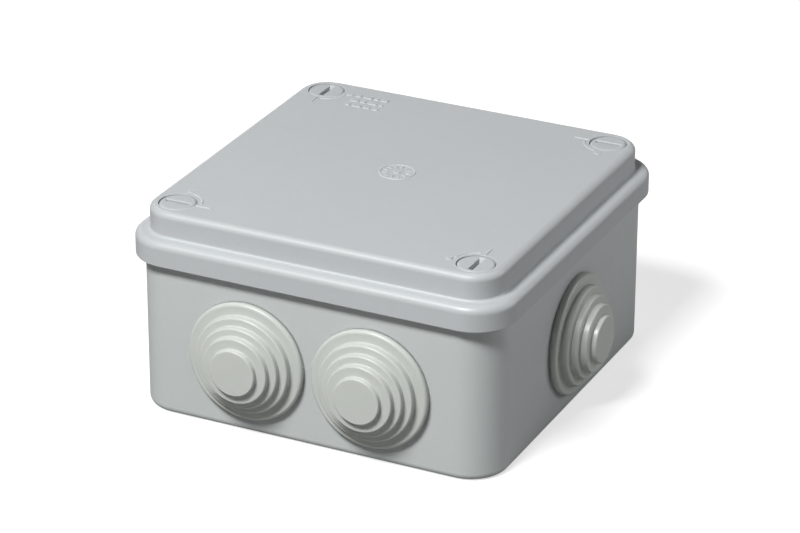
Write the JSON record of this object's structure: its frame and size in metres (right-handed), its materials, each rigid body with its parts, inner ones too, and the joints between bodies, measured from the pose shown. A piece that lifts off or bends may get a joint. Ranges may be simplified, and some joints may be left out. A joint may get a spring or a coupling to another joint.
{
  "type": "electrical junction box",
  "caption": "Square surface-mounted junction box with a quarter-turn screwed lid, stepped cable grommets and a rising-clamp terminal inside.",
  "frame": {"origin": "centre of the underside, on the plane of its resting band", "axes": "+Z out through the lid, +X to the right along the front wall, front wall facing -Y"},
  "size_m": [0.123, 0.123, 0.0581],
  "materials": {
    "enclosure": "fine matt moulded thermoplastic, light grey",
    "lid_plastic": "fine matt moulded thermoplastic, light grey",
    "lid_screw": "satin moulded nylon, light grey",
    "grommet": "soft satin elastomer, light grey",
    "cap": "soft moulded plastic, light grey",
    "gasket": "closed-cell foam rubber, black",
    "terminal_plastic": "natural nylon, off-white",
    "brass_bar": "rolled brass",
    "brass_cage": "nickel-plated brass",
    "zinc_screw": "zinc-plated steel"
  },
  "bodies": {
    "box": {"box_base": "enclosure", "grommet_front_left": "grommet", "grommet_front_right": "grommet", "grommet_back_left": "grommet", "grommet_back_right": "grommet", "grommet_left": "grommet", "grommet_right": "grommet", "fixing_hole_cap_front_left": "cap", "fixing_hole_cap_front_right": "cap", "fixing_hole_cap_back_left": "cap", "fixing_hole_cap_back_right": "cap", "terminal_housing": "terminal_plastic", "housing_fixing_screw_left": "zinc_screw", "housing_fixing_screw_right": "zinc_screw", "busbar_1": "brass_bar", "busbar_2": "brass_bar", "busbar_3": "brass_bar", "busbar_4": "brass_bar", "busbar_5": "brass_bar"},
    "lid": {"lid": "lid_plastic", "lid_gasket": "gasket"},
    "lid_screw_front_left": {"lid_screw_front_left": "lid_screw"},
    "lid_screw_front_right": {"lid_screw_front_right": "lid_screw"},
    "lid_screw_back_left": {"lid_screw_back_left": "lid_screw"},
    "lid_screw_back_right": {"lid_screw_back_right": "lid_screw"},
    "clamp_screw_1_front": {"clamp_screw_1_front": "zinc_screw"},
    "clamp_cage_1_front": {"clamp_cage_1_front": "brass_cage"},
    "clamp_screw_1_back": {"clamp_screw_1_back": "zinc_screw"},
    "clamp_cage_1_back": {"clamp_cage_1_back": "brass_cage"},
    "clamp_screw_2_front": {"clamp_screw_2_front": "zinc_screw"},
    "clamp_cage_2_front": {"clamp_cage_2_front": "brass_cage"},
    "clamp_screw_2_back": {"clamp_screw_2_back": "zinc_screw"},
    "clamp_cage_2_back": {"clamp_cage_2_back": "brass_cage"},
    "clamp_screw_3_front": {"clamp_screw_3_front": "zinc_screw"},
    "clamp_cage_3_front": {"clamp_cage_3_front": "brass_cage"},
    "clamp_screw_3_back": {"clamp_screw_3_back": "zinc_screw"},
    "clamp_cage_3_back": {"clamp_cage_3_back": "brass_cage"},
    "clamp_screw_4_front": {"clamp_screw_4_front": "zinc_screw"},
    "clamp_cage_4_front": {"clamp_cage_4_front": "brass_cage"},
    "clamp_screw_4_back": {"clamp_screw_4_back": "zinc_screw"},
    "clamp_cage_4_back": {"clamp_cage_4_back": "brass_cage"},
    "clamp_screw_5_front": {"clamp_screw_5_front": "zinc_screw"},
    "clamp_cage_5_front": {"clamp_cage_5_front": "brass_cage"},
    "clamp_screw_5_back": {"clamp_screw_5_back": "zinc_screw"},
    "clamp_cage_5_back": {"clamp_cage_5_back": "brass_cage"}
  },
  "joints": [
    {"name": "lid_lift", "type": "slide", "parent": "box", "child": "lid", "axis": [0, 0, 1], "range_m": [0, 0.06]},
    {"name": "lid_screw_front_left_turn", "type": "hinge", "parent": "lid", "child": "lid_screw_front_left", "pos_m": [-0.043, -0.043, 0.0579], "axis": [0, 0, -1], "range_deg": [0, 90]},
    {"name": "lid_screw_front_right_turn", "type": "hinge", "parent": "lid", "child": "lid_screw_front_right", "pos_m": [0.043, -0.043, 0.0579], "axis": [0, 0, -1], "range_deg": [0, 90]},
    {"name": "lid_screw_back_left_turn", "type": "hinge", "parent": "lid", "child": "lid_screw_back_left", "pos_m": [-0.043, 0.043, 0.0579], "axis": [0, 0, -1], "range_deg": [0, 90]},
    {"name": "lid_screw_back_right_turn", "type": "hinge", "parent": "lid", "child": "lid_screw_back_right", "pos_m": [0.043, 0.043, 0.0579], "axis": [0, 0, -1], "range_deg": [0, 90]},
    {"name": "clamp_cage_1_front_rise", "type": "slide", "parent": "box", "child": "clamp_cage_1_front", "axis": [0, 0, 1], "range_m": [0, 0.0025]},
    {"name": "clamp_screw_1_front_turn", "type": "hinge", "parent": "box", "child": "clamp_screw_1_front", "pos_m": [-0.02, -0.0053, 0.0212], "axis": [0, 0, -1], "range_deg": [0, 1800.1]},
    {"name": "clamp_cage_1_back_rise", "type": "slide", "parent": "box", "child": "clamp_cage_1_back", "axis": [0, 0, 1], "range_m": [0, 0.0025]},
    {"name": "clamp_screw_1_back_turn", "type": "hinge", "parent": "box", "child": "clamp_screw_1_back", "pos_m": [-0.02, 0.0053, 0.0212], "axis": [0, 0, -1], "range_deg": [0, 1800.1]},
    {"name": "clamp_cage_2_front_rise", "type": "slide", "parent": "box", "child": "clamp_cage_2_front", "axis": [0, 0, 1], "range_m": [0, 0.0025]},
    {"name": "clamp_screw_2_front_turn", "type": "hinge", "parent": "box", "child": "clamp_screw_2_front", "pos_m": [-0.01, -0.0053, 0.0212], "axis": [0, 0, -1], "range_deg": [0, 1800.1]},
    {"name": "clamp_cage_2_back_rise", "type": "slide", "parent": "box", "child": "clamp_cage_2_back", "axis": [0, 0, 1], "range_m": [0, 0.0025]},
    {"name": "clamp_screw_2_back_turn", "type": "hinge", "parent": "box", "child": "clamp_screw_2_back", "pos_m": [-0.01, 0.0053, 0.0212], "axis": [0, 0, -1], "range_deg": [0, 1800.1]},
    {"name": "clamp_cage_3_front_rise", "type": "slide", "parent": "box", "child": "clamp_cage_3_front", "axis": [0, 0, 1], "range_m": [0, 0.0025]},
    {"name": "clamp_screw_3_front_turn", "type": "hinge", "parent": "box", "child": "clamp_screw_3_front", "pos_m": [0, -0.0053, 0.0212], "axis": [0, 0, -1], "range_deg": [0, 1800.1]},
    {"name": "clamp_cage_3_back_rise", "type": "slide", "parent": "box", "child": "clamp_cage_3_back", "axis": [0, 0, 1], "range_m": [0, 0.0025]},
    {"name": "clamp_screw_3_back_turn", "type": "hinge", "parent": "box", "child": "clamp_screw_3_back", "pos_m": [0, 0.0053, 0.0212], "axis": [0, 0, -1], "range_deg": [0, 1800.1]},
    {"name": "clamp_cage_4_front_rise", "type": "slide", "parent": "box", "child": "clamp_cage_4_front", "axis": [0, 0, 1], "range_m": [0, 0.0025]},
    {"name": "clamp_screw_4_front_turn", "type": "hinge", "parent": "box", "child": "clamp_screw_4_front", "pos_m": [0.01, -0.0053, 0.0212], "axis": [0, 0, -1], "range_deg": [0, 1800.1]},
    {"name": "clamp_cage_4_back_rise", "type": "slide", "parent": "box", "child": "clamp_cage_4_back", "axis": [0, 0, 1], "range_m": [0, 0.0025]},
    {"name": "clamp_screw_4_back_turn", "type": "hinge", "parent": "box", "child": "clamp_screw_4_back", "pos_m": [0.01, 0.0053, 0.0212], "axis": [0, 0, -1], "range_deg": [0, 1800.1]},
    {"name": "clamp_cage_5_front_rise", "type": "slide", "parent": "box", "child": "clamp_cage_5_front", "axis": [0, 0, 1], "range_m": [0, 0.0025]},
    {"name": "clamp_screw_5_front_turn", "type": "hinge", "parent": "box", "child": "clamp_screw_5_front", "pos_m": [0.02, -0.0053, 0.0212], "axis": [0, 0, -1], "range_deg": [0, 1800.1]},
    {"name": "clamp_cage_5_back_rise", "type": "slide", "parent": "box", "child": "clamp_cage_5_back", "axis": [0, 0, 1], "range_m": [0, 0.0025]},
    {"name": "clamp_screw_5_back_turn", "type": "hinge", "parent": "box", "child": "clamp_screw_5_back", "pos_m": [0.02, 0.0053, 0.0212], "axis": [0, 0, -1], "range_deg": [0, 1800.1]}
  ],
  "couplings": [
    {"joint": "clamp_screw_1_front_turn", "follows": "clamp_cage_1_front_rise", "rad_per_m": 12566},
    {"joint": "clamp_screw_1_back_turn", "follows": "clamp_cage_1_back_rise", "rad_per_m": 12566},
    {"joint": "clamp_screw_2_front_turn", "follows": "clamp_cage_2_front_rise", "rad_per_m": 12566},
    {"joint": "clamp_screw_2_back_turn", "follows": "clamp_cage_2_back_rise", "rad_per_m": 12566},
    {"joint": "clamp_screw_3_front_turn", "follows": "clamp_cage_3_front_rise", "rad_per_m": 12566},
    {"joint": "clamp_screw_3_back_turn", "follows": "clamp_cage_3_back_rise", "rad_per_m": 12566},
    {"joint": "clamp_screw_4_front_turn", "follows": "clamp_cage_4_front_rise", "rad_per_m": 12566},
    {"joint": "clamp_screw_4_back_turn", "follows": "clamp_cage_4_back_rise", "rad_per_m": 12566},
    {"joint": "clamp_screw_5_front_turn", "follows": "clamp_cage_5_front_rise", "rad_per_m": 12566},
    {"joint": "clamp_screw_5_back_turn", "follows": "clamp_cage_5_back_rise", "rad_per_m": 12566}
  ]
}
